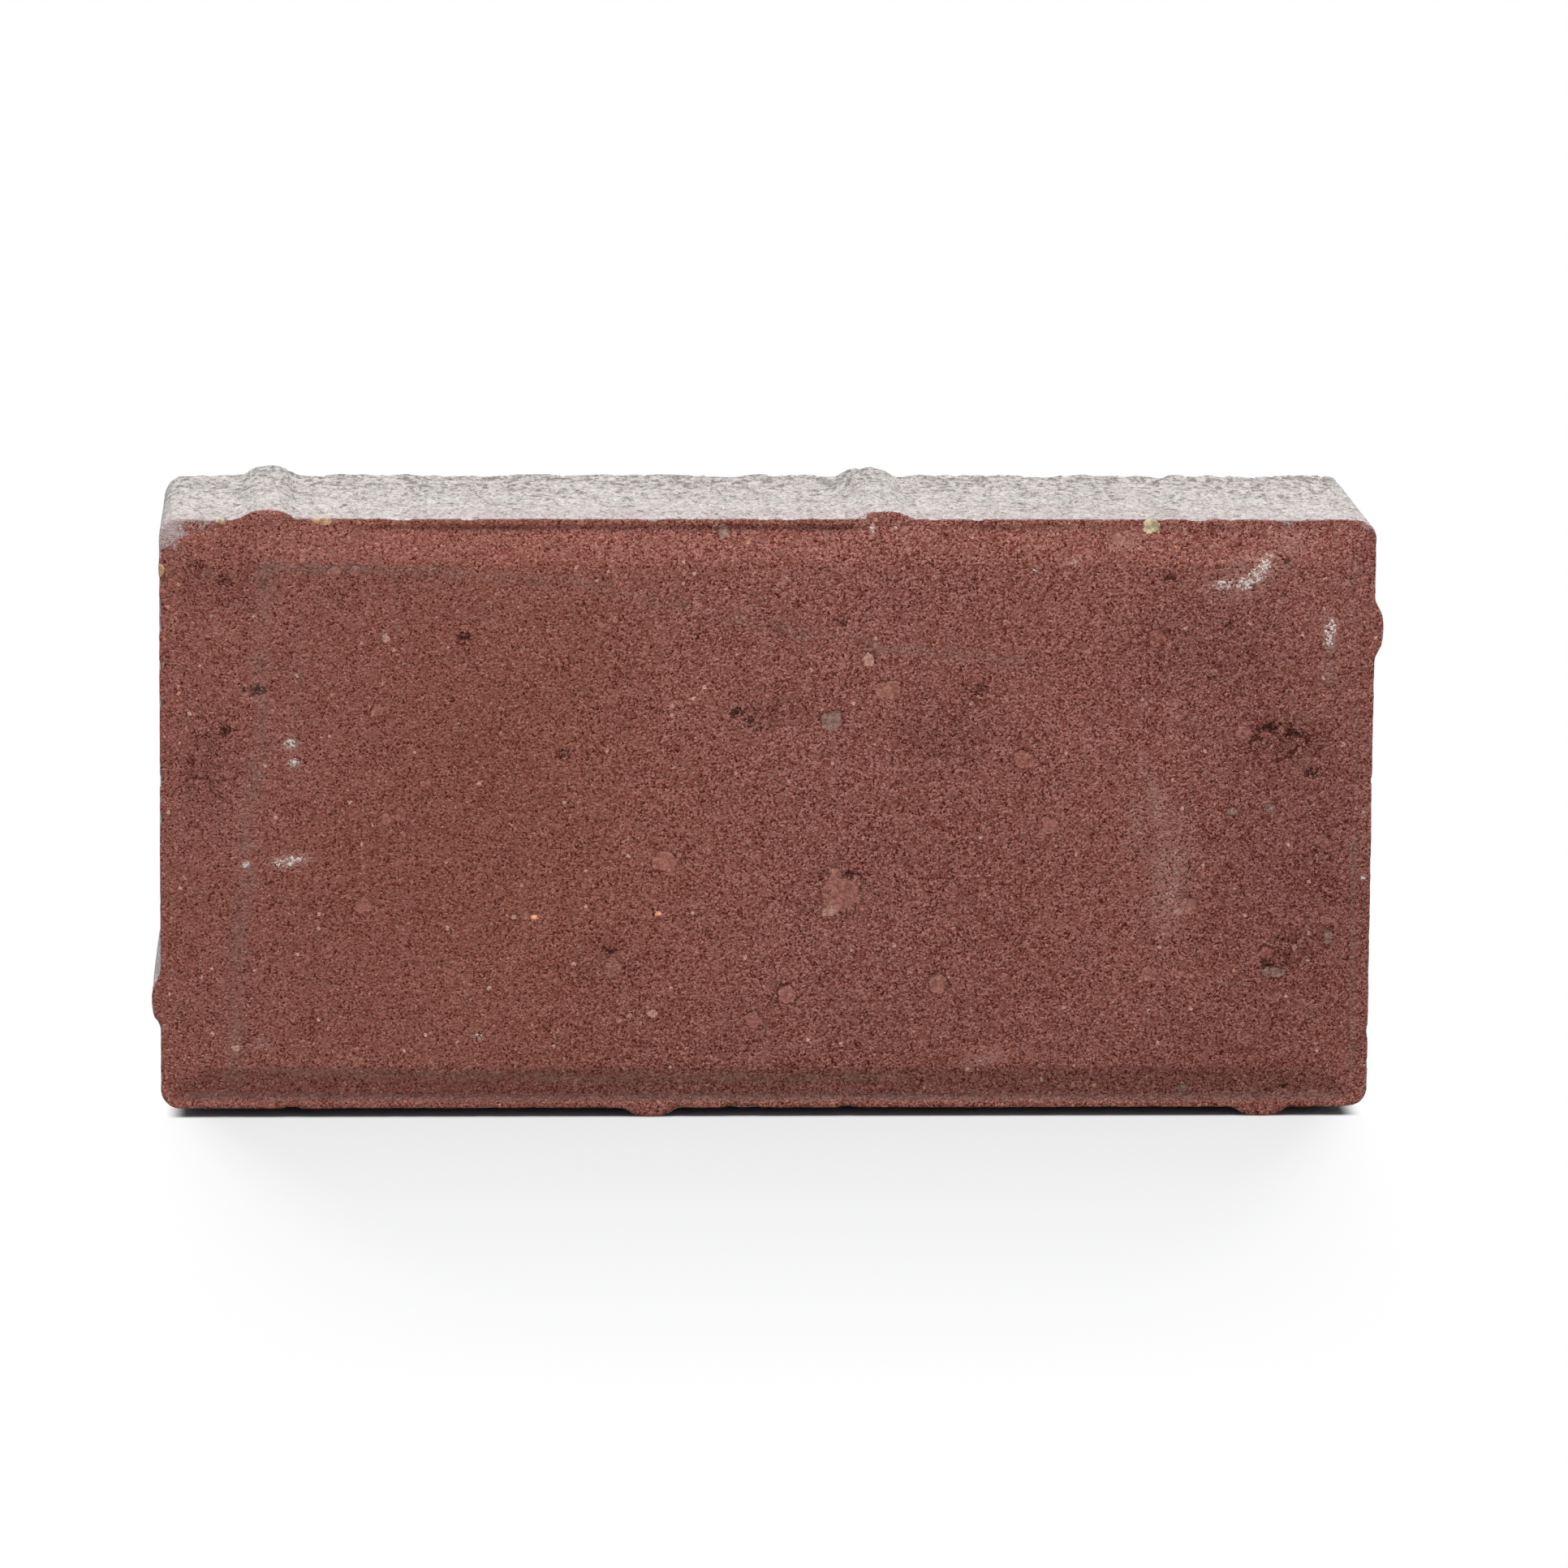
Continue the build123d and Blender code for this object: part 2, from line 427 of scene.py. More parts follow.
class Mould:
    """Outline and depths of the mould, measured from the middle of the block."""

    def __init__(self, sizes):
        self.reach = sizes.nib_reach
        self.half_length = (HIGHEST.x - LOWEST.x) / 2 - self.reach
        self.half_height = (HIGHEST.z - LOWEST.z) / 2 - self.reach
        self.half_thickness = (HIGHEST.y - LOWEST.y) / 2
        self.middle = (LOWEST + HIGHEST) / 2
        self.corner = sizes.corner_radius
        self.rim_width = sizes.rim_width
        self.groove_inset = sizes.rim_width + sizes.rim_flank
        self.field_inset = self.groove_inset + sizes.bevel_width
        self.groove_depth = sizes.bevel_drop
        self.crest_depth = sizes.bevel_drop - sizes.rim_height
        self.rounding = sizes.rim_rounding
        self.bed_edge = sizes.bed_edge
        self.nib_tip = sizes.nib_tip / 2
        self.nib_run = sizes.nib_run
        # Each nib: the axis it points along (0 for x, 1 for z), which way, and its place along the side
        self.nibs = (
            (1, 1, -sizes.outer_nib), (1, 1, sizes.inner_nib),
            (1, -1, sizes.outer_nib), (1, -1, -sizes.inner_nib),
            (0, 1, sizes.end_nib), (0, -1, -sizes.end_nib),
        )

    def grid_lines(self, half, step):
        """Places of the mesh lines across the face: close together on the rim, then even."""
        crest = self.rim_width
        edge = [0.0, self.rounding * 0.3, self.rounding, crest * 0.64, crest, self.groove_inset]
        slope = np.linspace(self.groove_inset, self.field_inset, BEVEL_LINES + 1)[1:]
        inner = half - self.field_inset
        count = round(2 * inner / step)
        left = [-half + inset for inset in (*edge, *slope)]
        field = list(np.linspace(-inner, inner, count + 1)[1:-1])
        return left + field + [-place for place in reversed(left)]

    def ring_depths(self, step):
        """Depths of the mesh rings from the front edge of the sides to the bedding face."""
        start = self.crest_depth + self.rounding - self.half_thickness
        end = self.half_thickness - self.bed_edge
        near = [start + gap for gap in np.cumsum(NEAR_GAPS_MM) * MM]
        back = [end - gap for gap in np.cumsum(BACK_GAPS_MM)[::-1] * MM]
        count = round((back[0] - near[-1]) / step)
        middle = list(np.linspace(near[-1], back[0], count + 1)[1:-1])
        turns = [math.sin(math.radians(turn)) for turn in (35, 65, 90)]
        rounded = [self.half_thickness - self.bed_edge * (1 - turn) for turn in turns]
        return near + middle + back + [end] + rounded

    def nib_outline(self, along):
        """Share of the full reach at a distance from the middle of a nib: soft flanks and a domed tip."""
        ramp = np.clip((self.nib_tip + self.nib_run - np.abs(along)) / self.nib_run, 0.0, 1.0)
        soft = ramp * ramp * (3 - 2 * ramp)
        dome = 1 - 0.16 * np.clip(np.abs(along) / self.nib_tip, 0.0, 1.0) ** 2
        return (0.2 * ramp + 0.8 * soft) * dome


def along_side(places_mm, along):
    """Value at each place along a side, between the listed ones."""
    places, values = zip(*places_mm)
    return np.interp(along, np.array(places) * MM, values)


def noise_at(points, name):
    """Smooth noise from about -1 to 1 at each point, in the named pattern."""
    size_mm, octaves, seed = PATTERNS[name]
    shift = Vector((seed * 17.3, seed * 5.9, seed * 11.1))
    scale = 1 / (size_mm * MM)
    if octaves == 1:
        return np.array([noise.noise(Vector(point) * scale + shift) for point in points])
    return np.array([noise.fractal(Vector(point) * scale + shift, 0.9, 2.1, octaves) for point in points])


def smooth_step(value, low, high):
    """0 below low, 1 over high and a smooth curve between."""
    share = np.clip((value - low) / (high - low), 0.0, 1.0)
    return share * share * (3 - 2 * share)


def blob(at_mm, x, z, width, height, turn=0.0):
    """1 at the middle of an oval, 0 at its edge and negative outside."""
    cosine, sine = math.cos(math.radians(turn)), math.sin(math.radians(turn))
    across, up = at_mm[0] - x, at_mm[1] - z
    along = across * cosine + up * sine
    over = up * cosine - across * sine
    return 1 - np.hypot(along / (width / 2), over / (height / 2))


def line_distance(at_mm, points):
    """Distance from the line through the points."""
    x_mm, z_mm = at_mm
    nearest = np.full(len(x_mm), np.inf)
    for (x_from, z_from), (x_to, z_to) in zip(points, points[1:]):
        run = np.hypot(x_to - x_from, z_to - z_from)
        share = ((x_mm - x_from) * (x_to - x_from) + (z_mm - z_from) * (z_to - z_from)) / run ** 2
        share = np.clip(share, 0.0, 1.0)
        gap = np.hypot(x_mm - x_from - share * (x_to - x_from), z_mm - z_from - share * (z_to - z_from))
        nearest = np.minimum(nearest, gap)
    return nearest


def ruled_grid(bm, columns, rows, depth, facing):
    """Grid in the plan of the stone on the given lines, facing the front (1) or the back (-1)."""
    grid = bmesh.ops.create_grid(bm, x_segments=len(columns) - 1, y_segments=len(rows) - 1, size=1)
    for vert in grid["verts"]:
        column = round((vert.co.x * facing + 1) / 2 * (len(columns) - 1))
        row = round((vert.co.y + 1) / 2 * (len(rows) - 1))
        vert.co = (columns[column], depth, rows[row])


def sharp_block(bm, mould, sizes):
    """Closed block with sharp edges, on the mesh lines that the pressed shape needs."""
    columns = mould.grid_lines(mould.half_length, sizes.face_step)
    rows = mould.grid_lines(mould.half_height, sizes.face_step)
    ruled_grid(bm, columns, rows, -mould.half_thickness, 1)

    # Sides, ring after ring towards the bedding face
    edges = [edge for edge in bm.edges if edge.is_boundary]
    for depth in mould.ring_depths(sizes.side_step):
        made = bmesh.ops.extrude_edge_only(bm, edges=edges)["geom"]
        edges = [part for part in made if isinstance(part, bmesh.types.BMEdge) and part.is_boundary]
        for vert in {vert for edge in edges for vert in edge.verts}:
            vert.co.y = depth

    # Bedding face, joined to the last ring
    inset = 2 * sizes.bed_step
    across, up = mould.half_length - inset, mould.half_height - inset
    columns = np.linspace(-across, across, round(2 * across / sizes.bed_step) + 1)
    rows = np.linspace(-up, up, round(2 * up / sizes.bed_step) + 1)
    ring = set(edges)
    ruled_grid(bm, columns, rows, mould.half_thickness, -1)
    bed = [edge for edge in bm.edges if edge.is_boundary and edge not in ring]
    bmesh.ops.bridge_loops(bm, edges=edges + bed)
    bmesh.ops.recalc_face_normals(bm, faces=bm.faces)


def pressed_places(mould, block):
    """Each point of the sharp block, moved to where the mould presses it."""
    plan, depth = block[:, [0, 2]], block[:, 1]
    halves = np.array((mould.half_length, mould.half_height))
    gaps = halves - np.abs(plan)
    inset = gaps.min(axis=1)

    # Corners in plan
    over = mould.corner - gaps
    beyond = np.maximum(over, 0.0)
    reach = np.maximum(np.hypot(*beyond.T), 1e-9)[:, None]
    outwards = np.sign(plan) * beyond / reach
    pull = over.max(axis=1, keepdims=True) / reach
    bent = np.sign(plan) * (halves - mould.corner + over * pull)
    pressed = np.where((over > 0).all(axis=1, keepdims=True), bent, plan)

    # Rounded edge of the bedding face
    turn = np.clip((depth - mould.half_thickness + mould.bed_edge) / mould.bed_edge, 0.0, 1.0)
    drawn_in = np.where(inset < ON_PLANE, mould.bed_edge * (1 - np.sqrt(1 - turn ** 2)), 0.0)
    pressed = pressed - outwards * drawn_in[:, None]

    # Spacer nibs
    for axis, way, place in mould.nibs:
        near = np.clip(1 - gaps[:, axis] / mould.rim_width, 0.0, 1.0)
        share = mould.nib_outline(plan[:, 1 - axis] - place) * near
        pressed[:, axis] += np.where(plan[:, axis] * way > 0, mould.reach * share * way, 0.0)

    # Rim, groove, bevel and field of the wearing face
    front = depth < -mould.half_thickness + ON_PLANE
    across, up = plan.T
    grooves = np.select(
        [gaps[:, 1] <= gaps[:, 0], across < 0],
        [np.where(up > 0, along_side(TOP_GROOVE_MM, across), along_side(LOW_GROOVE_MM, across)),
         along_side(LEFT_GROOVE_MM, up)],
        along_side(RIGHT_GROOVE_MM, up))

    # Depths at lines further and further in: the rounded edge, the crest, the groove and the field
    insets = [0.0, mould.rounding * 0.3, mould.rounding, mould.rim_width, mould.groove_inset,
              mould.field_inset]
    rim = [mould.crest_depth + drop for drop in (mould.rounding, mould.rounding * 0.29, 0.0, 0.0)]
    clean_depth = np.interp(inset, insets, rim + [mould.groove_depth, 0.0])
    filled_depth = np.interp(inset, insets, rim + [mould.crest_depth * 0.95, 0.0])
    fall = grooves * clean_depth + (1 - grooves) * filled_depth
    depth = np.where(front, depth + fall, depth)
    return np.column_stack((pressed[:, 0], depth, pressed[:, 1])), front, inset


def seen_place(block):
    """Place of each point of the wearing face as it is seen, in millimetres from the middle."""
    x_mm, z_mm = block[:, 0] / MM, block[:, 2] / MM
    return SEEN_WIDER * x_mm + SEEN_LEAN * z_mm, z_mm - SEEN_LOWER_MM


def mark_amounts(mould, block, front, inset):
    """Named values at each point for the marks that the wearing face carries."""
    at_mm = seen_place(block)
    near_face = front | (block[:, 1] < -mould.half_thickness + 4 * MM)
    marks = {name: np.zeros(len(block)) for name in ("chalk", "film", "open", "hole", "ring")}
    marks["pebble"] = np.full(len(block), -1.0)
    tint = np.zeros((len(block), 4))

    def strengthen(name, value):
        """Keeps the larger of a mark and a new value."""
        marks[name] = np.maximum(marks[name], value)

    # Marks from the lists, which keep to the face and its edge
    for x, z, width, height, name, ring in PEBBLES_MM:
        value = blob(at_mm, x, z, width, height)
        inside = value > np.maximum(marks["pebble"], -2.6 / max(width, height))
        tint[inside] = PEBBLE_TINTS[name]
        marks["ring"][inside] = ring
        strengthen("pebble", np.clip(value, -1.0, 1.0))
    for x, z, width, height, _ in HOLES_MM:
        strengthen("hole", blob(at_mm, x, z, width * 1.9, height * 2.0))
    for x, z, width, height, turn, strength in CHALK_MM:
        value = blob(at_mm, x, z, width * 1.25, height * 1.25, turn)
        strengthen("chalk", strength * smooth_step(value, 0.0, 0.8))
    for points, width, strength in RUNS_MM:
        value = 1 - line_distance(at_mm, points) / width
        strengthen("film", strength * smooth_step(value, 0.0, 0.9))
    for x, z, width, height, strength in OPEN_MM:
        strengthen("open", strength * smooth_step(blob(at_mm, x, z, width, height), 0.0, 0.7))
    for name in ("chalk", "film", "open", "hole"):
        marks[name] = np.where(near_face, marks[name], 0.0)
    marks["pebble"] = np.where(near_face, marks["pebble"], -1.0)

    # Patterns of the whole stone, which opens up towards the bedding face
    marks["side"] = side_share(mould, block, front, inset)
    marks["drift"], marks["tone_and_shade"] = slow_patterns(block, front)
    marks["crisp"] = smooth_step(at_mm[0], *CRISP_MM)
    behind = 0.5 + block[:, 1] / mould.half_thickness / 2
    marks["open"] = np.where(front, marks["open"], np.where(behind > 0.999, 0.5, behind))
    return marks, tint


def side_share(mould, block, front, inset):
    """0 on the wearing face, a half along its edge and 1 on the sides, more where the corner is worn."""
    behind = block[:, 1] + mould.half_thickness - mould.crest_depth
    share = np.where(front, 0.36 * np.clip(1 - inset / PALE_OVER_RIM, 0.0, 1.0),
                     0.50 + 0.50 * np.clip(behind / PALE_BEHIND, 0.0, 1.0))
    at_mm = block[:, 0] / MM, block[:, 2] / MM
    for x, z, size, strength in WORN_CORNERS_MM:
        shows = strength * smooth_step(blob(at_mm, x, z, 2 * size, 2 * size), 0.0, 1.0)
        share = np.where(front, share + shows, share)
    return share


def slow_patterns(block, front):
    """Slow changes of colour, and how light each place is: random tone, and on the wearing face also
    painted shade, darker towards the bottom and lighter towards the top.
    """
    x_mm, y_mm, z_mm = (block / MM).T
    broad = noise_at(block, "broad")
    fine = noise_at(block, "fine")
    brown_x, brown_z, width, height = BROWN_MM
    brown = np.exp(-(((x_mm - brown_x) / width) ** 2 + ((z_mm - brown_z) / height) ** 2))
    face_drift = np.clip(0.72 + 0.35 * broad - 0.65 * brown, 0.0, 1.0)
    side_drift = smooth_step(y_mm + 9 * fine + 6 * broad, *GREYING_MM)
    # Random tone, and painted shade of the overhead lamp: the wearing face darker towards the bottom and
    # lighter towards the top
    face_tone_and_shade = 0.03 * broad + 0.05 * fine + 0.05 * np.clip(z_mm / 50, -1.0, 1.0)
    for x, z, width, height, strength in SHADES_MM:
        shade = smooth_step(blob((x_mm, z_mm), x, z, width, height), 0.0, 1.0)
        face_tone_and_shade = face_tone_and_shade - strength * shade
    tone_and_shade = 1.0 + np.where(front, face_tone_and_shade, 0.09 * fine + 0.03 * broad)
    return np.where(front, face_drift, side_drift), tone_and_shade


def worn_depths(mould, settings, block, points, front, inset, marks):
    """How far each point has worn or crumbled inwards."""
    uneven = 0.5 + 0.5 * noise_at(points, "uneven")
    grain = 0.5 + 0.5 * noise_at(points, "grain")
    lumps = noise_at(points, "lumps")
    face = settings.face_unevenness * uneven + settings.face_grain * grain
    face = face + OPEN_RELIEF * marks["open"] * smooth_step(lumps, 0.25, 0.8)
    on_rim = np.clip(1 - inset / mould.groove_inset, 0.0, 1.0)
    face = face + RIM_RELIEF * on_rim * smooth_step(lumps, 0.0, 0.7)

    back_gap = mould.half_thickness - block[:, 1]
    near_back = np.clip(1 - back_gap / PORES_REACH, 0.0, 1.0)
    pores = smooth_step(lumps, 0.3 - 0.35 * near_back, 0.9)
    side = settings.face_unevenness * uneven + settings.side_roughness * pores
    side = side + settings.side_roughness * 0.25 * grain
    crumbs = noise_at(points, "crumbs")
    edge = np.clip(1 - back_gap / CRUMBLE_REACH, 0.0, 1.0)
    outer = np.clip(1 - inset / CRUMBLE_INWARDS, 0.0, 1.0)
    bits = noise_at(points, "bits")
    crumbled = smooth_step(crumbs, -0.15, 0.8) + 0.75 * smooth_step(bits, -0.1, 0.6)
    side = side + settings.edge_crumble * edge * outer * crumbled
    worn = np.where(front, face, side)

    # Pebbles stand a little proud and the open holes go in
    at_mm = seen_place(block)
    for x, z, width, height, depth in HOLES_MM:
        hollow = smooth_step(blob(at_mm, x, z, width * 1.3, height * 1.3), 0.0, 0.9)
        worn = np.where(front, worn + depth * 0.5 * MM * hollow, worn)
    calm = np.where(front, smooth_step(marks["pebble"], -0.1, 0.3), 0.0)
    return worn * (1 - 0.75 * calm)


def read(parts, name, per_part, kind=np.float32):
    """Values of all vertices, corners or faces of a mesh."""
    values = np.empty(len(parts) * per_part, dtype=kind)
    parts.foreach_get(name, values)
    return values


def write(parts, name, values, kind=np.float32):
    """Sets the values of all vertices, points of an attribute or faces of a mesh."""
    parts.foreach_set(name, values.astype(kind).ravel())


def solid_colour(colour):
    """Colour with its alpha, as the sockets take it."""
    return (*colour, 1.0)


class NodeSheet:
    """Adds nodes to a tree and wires their inputs, given by name or number."""

    def __init__(self, tree):
        self.tree = tree
        self.count = 0

    def add(self, kind, inputs=None, **settings):
        """New node with its settings and inputs: a socket is wired, and anything else is its value."""
        node = self.tree.nodes.new(kind)
        node.location = (self.count % 12 * 190, -(self.count // 12) * 260)
        self.count += 1
        for name, value in settings.items():
            setattr(node, name, value)
        for name, value in (inputs or {}).items():
            self.give(value, node.inputs[name])
        return node

    def give(self, value, socket):
        """Wires a socket to an input, or sets the input to a plain value."""
        if isinstance(value, bpy.types.NodeSocket):
            self.wire(value, socket)
        else:
            socket.default_value = value

    def wire(self, source, socket):
        """Link from an output to an input."""
        self.tree.links.new(source, socket)

    def math(self, operation, first, second=0.0, third=0.0):
        """Result of one sum on two or three values."""
        inputs = {0: first, 1: second, 2: third}
        return self.add("ShaderNodeMath", inputs, operation=operation).outputs[0]

    def times(self, first, second):
        """Product of two values."""
        return self.math("MULTIPLY", first, second)

    def line(self, value, slope, start):
        """Value times a slope, added to a start."""
        return self.math("MULTIPLY_ADD", value, slope, start)

    def most(self, first, second):
        """The larger of two values."""
        return self.math("MAXIMUM", first, second)

    def less(self, value):
        """What is left of 1 after a value."""
        return self.math("SUBTRACT", 1.0, value)

    def ramp(self, value, low, high, start=0.0, end=1.0):
        """Value moved smoothly from start to end as the input goes from low to high."""
        inputs = {"Value": value, "From Min": low, "From Max": high, "To Min": start, "To Max": end}
        return self.add("ShaderNodeMapRange", inputs, interpolation_type="SMOOTHSTEP").outputs[0]

    def mix(self, factor, first, second, blend="MIX"):
        """Colour between two colours, each a socket or three plain values."""
        node = self.add("ShaderNodeMix", {0: factor}, data_type="RGBA", blend_type=blend)
        for number, colour in ((6, first), (7, second)):
            plain = not isinstance(colour, bpy.types.NodeSocket)
            self.give(solid_colour(colour) if plain else colour, node.inputs[number])
        return node.outputs[2]

    def shaded(self, colour, level):
        """Colour made darker, or past 1 lighter, by a level."""
        grey = self.add("ShaderNodeCombineColor", {0: level, 1: level, 2: level}).outputs[0]
        return self.mix(1.0, colour, grey, "MULTIPLY")

    def parts(self, colour):
        """The three values of a colour."""
        return self.add("ShaderNodeSeparateColor", {"Color": colour}).outputs

    def noise(self, vector, scale, detail=2.0, roughness=0.5):
        """Value of a noise pattern."""
        inputs = {"Vector": vector, "Scale": scale, "Detail": detail, "Roughness": roughness}
        return self.add("ShaderNodeTexNoise", inputs).outputs[0]

    def warm(self, level):
        """Factor for the red mix, whose green and blue fall off faster than its red in the dark."""
        parts = {0: level, 1: self.math("POWER", level, 1.6), 2: self.math("POWER", level, 1.8)}
        return self.add("ShaderNodeCombineColor", parts).outputs[0]

    def value_of(self, name):
        """Value stored on the mesh under a name."""
        return self.add("ShaderNodeAttribute", attribute_name=name).outputs["Fac"]


def new_group(name, inputs, outputs):
    """Empty shader group, with the kind of each named socket."""
    tree = bpy.data.node_groups.new(name, "ShaderNodeTree")
    for way, sockets in (("INPUT", inputs), ("OUTPUT", outputs)):
        for socket, kind in sockets.items():
            tree.interface.new_socket(name=socket, in_out=way, socket_type=f"NodeSocket{kind}")
    sheet = NodeSheet(tree)
    return tree, sheet, sheet.add("NodeGroupInput").outputs, sheet.add("NodeGroupOutput").inputs


def grain_group():
    """Packed grains with dark crevices between them, and a random shade for each grain."""
    tree, sheet, given, out = new_group(
        "packed_grain", {"Vector": "Vector", "Grains per mm": "Float", "Openness": "Float"},
        {"Height": "Float", "Crevice": "Float", "Shade": "Color"})
    place, fineness = given["Vector"], given["Grains per mm"]
    packed = sheet.noise(place, sheet.times(fineness, 0.75), detail=2.0, roughness=0.65)
    sway_inputs = {"Vector": place, "Scale": sheet.times(fineness, 0.6), "Detail": 0.0}
    sway = sheet.add("ShaderNodeTexNoise", sway_inputs).outputs["Color"]
    bent = sheet.add("ShaderNodeVectorMath", {0: sway, 1: (0.7, 0.7, 0.7), 2: place},
                     operation="MULTIPLY_ADD").outputs[0]
    grains = sheet.add("ShaderNodeTexVoronoi", {"Vector": bent, "Scale": fineness}).outputs
    height = sheet.line(grains["Distance"], -0.40, sheet.math("ADD", packed, 0.40))
    clumps = sheet.noise(place, sheet.times(fineness, 0.16), detail=1.0)
    looser = sheet.line(given["Openness"], 0.6, sheet.ramp(clumps, 0.36, 0.66))
    low = sheet.line(looser, 0.085, 0.46)
    crevice = sheet.ramp(height, low, sheet.math("ADD", low, 0.09), 1.0, 0.0)
    sheet.wire(height, out["Height"])
    sheet.wire(crevice, out["Crevice"])
    sheet.wire(grains["Color"], out["Shade"])
    return tree


def border_group():
    """Ragged border between the two mixes along the rim: 0 on the red mix and 1 on the pale skin."""
    tree, sheet, given, out = new_group(
        "mix_border", {"Vector": "Vector", "Side": "Float"}, {"Pale": "Float"})
    ragged = sheet.noise(given["Vector"], 0.8, detail=5.0, roughness=0.9)
    level = sheet.line(ragged, 1.5, given["Side"])
    sheet.wire(sheet.ramp(level, 1.10, 1.26), out["Pale"])
    return tree


def packed_grain(sheet, groups, place, fineness, openness):
    """Height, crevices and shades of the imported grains."""
    inputs = {"Vector": place, "Grains per mm": fineness, "Openness": openness}
    return sheet.add("ShaderNodeGroup", inputs, node_tree=groups["grain"]).outputs


def pale_border(sheet, groups, place):
    """How much pale skin shows at the border between the mixes."""
    inputs = {"Vector": place, "Side": sheet.value_of("side")}
    return sheet.add("ShaderNodeGroup", inputs, node_tree=groups["border"]).outputs[0]


def millimetre_place(sheet):
    """Object coordinates in millimetres."""
    place = sheet.add("ShaderNodeTexCoord").outputs["Object"]
    return sheet.add("ShaderNodeVectorMath", {0: place, "Scale": 1 / MM}, operation="SCALE").outputs[0]


def new_material(name):
    """Material with its sheet and its shader."""
    material = bpy.data.materials.new(name)
    material.use_nodes = True
    sheet = NodeSheet(material.node_tree)
    return material, sheet, material.node_tree.nodes["Principled BSDF"]


def finish_concrete(sheet, shader, settings, colour, height):
    """Wires the colour and the relief to the shader of a dull concrete."""
    bump = sheet.add("ShaderNodeBump", {"Height": height, "Distance": settings.grain_bump})
    sheet.wire(colour, shader.inputs["Base Color"])
    sheet.wire(bump.outputs[0], shader.inputs["Normal"])
    shader.inputs["Roughness"].default_value = 0.92
    shader.inputs["Specular IOR Level"].default_value = 0.03


def grained_red(sheet, settings, grain, shade):
    """Red mix: a broad drift from brown to purple, then patches with painted shade towards the bottom,
    then single grains with painted shade in their hollows and painted highlight on their tops.
    """
    colour = sheet.mix(sheet.value_of("drift"), settings.red_mix, settings.purple_mix)
    colour = sheet.shaded(colour, sheet.value_of("tone_and_shade"))
    crisp = sheet.value_of("crisp")
    lowest, highest, darkest, lightest = (sheet.line(crisp, *level) for level in GRAIN_LEVELS)
    # Painted shade and highlight: each grain is darker in its hollows and lighter on its tops, by its
    # height
    painted_relief_shade = sheet.ramp(grain["Height"], 0.45, 0.75, lowest, highest)
    level = sheet.times(painted_relief_shade, sheet.ramp(shade[0], 0.0, 1.0, darkest, lightest))
    colour = sheet.mix(1.0, colour, sheet.warm(level), "MULTIPLY")
    colour = sheet.mix(sheet.ramp(shade[2], 0.45, 1.0, 0.0, 0.34), colour, PINK_GRAIN)
    colour = sheet.mix(sheet.ramp(shade[2], 0.0, 0.45, 0.34, 0.0), colour, BROWN_GRAIN)
    return sheet.mix(sheet.times(sheet.ramp(shade[1], 0.93, 0.96), 0.60), colour, PALE_GRAIN)


def coarse_grit(sheet, place, grain, colour):
    """Faint lumps of coarser grit, the seams between them, and rarer chips, some pale and some orange."""
    chips = sheet.add("ShaderNodeTexVoronoi", {"Vector": place, "Scale": 0.55}).outputs
    gap = sheet.line(grain["Height"], -0.24, chips["Distance"])
    chip = sheet.parts(chips["Color"])
    lump = sheet.times(sheet.ramp(gap, 0.14, 0.38, 1.0, 0.0), sheet.ramp(chip[2], 0.62, 0.70))
    seam = sheet.times(sheet.ramp(gap, 0.42, 0.52), sheet.ramp(sheet.value_of("open"), 0.25, 0.80))
    colour = sheet.mix(sheet.times(lump, 0.45), colour, sheet.mix(chip[1], *LUMPS))
    chosen = sheet.math("GREATER_THAN", chip[0], 0.94)
    dot = sheet.times(chosen, sheet.ramp(gap, -0.03, 0.06, 0.85, 0.0))
    return sheet.mix(dot, colour, sheet.mix(chip[1], *CHIPS)), chip, lump, seam


def set_pebbles(sheet, place, shade, chip, wobble, colour):
    """Mottled pebbles with a broken dark ring of painted shadow, and how much of the surface they take.
    """
    edge = sheet.line(sheet.math("SUBTRACT", wobble, 0.5), 1.3, sheet.value_of("pebble"))
    pebble = sheet.add("ShaderNodeAttribute", attribute_name="pebble_tint").outputs
    spots = sheet.noise(place, 1.1, detail=3.0, roughness=0.7)
    mottled = sheet.ramp(spots, 0.35, 0.68, 0.68, 1.40)
    mottled = sheet.times(mottled, sheet.ramp(shade[0], 0.0, 1.0, 0.86, 1.14))
    body = sheet.times(sheet.ramp(edge, 0.0, 0.24), pebble["Alpha"])
    colour = sheet.mix(body, colour, sheet.shaded(pebble["Color"], mottled))
    # Painted shadow: a broken dark ring round the edge of each pebble
    ring = sheet.times(sheet.ramp(edge, -0.16, 0.0), sheet.ramp(edge, 0.02, 0.18, 1.0, 0.0))
    ring = sheet.times(ring, sheet.times(sheet.value_of("ring"), sheet.ramp(chip[1], 0.1, 0.3)))
    return sheet.mix(sheet.times(ring, 0.8), colour, PEBBLE_SHADOW), body


def painted_crevice_shade(sheet, grain, body, lump, seam, colour):
    """Painted shade in the crevices between the grains and in the seams between lumps, less of it on
    pebbles and lumps.
    """
    loose = sheet.less(sheet.most(body, sheet.times(lump, 0.55)))
    crevice = sheet.times(sheet.most(grain["Crevice"], seam), loose)
    # Painted shade: the crevices darkened to a near-black red
    return sheet.mix(sheet.times(crevice, 0.84), colour, CREVICE_SHADE), crevice


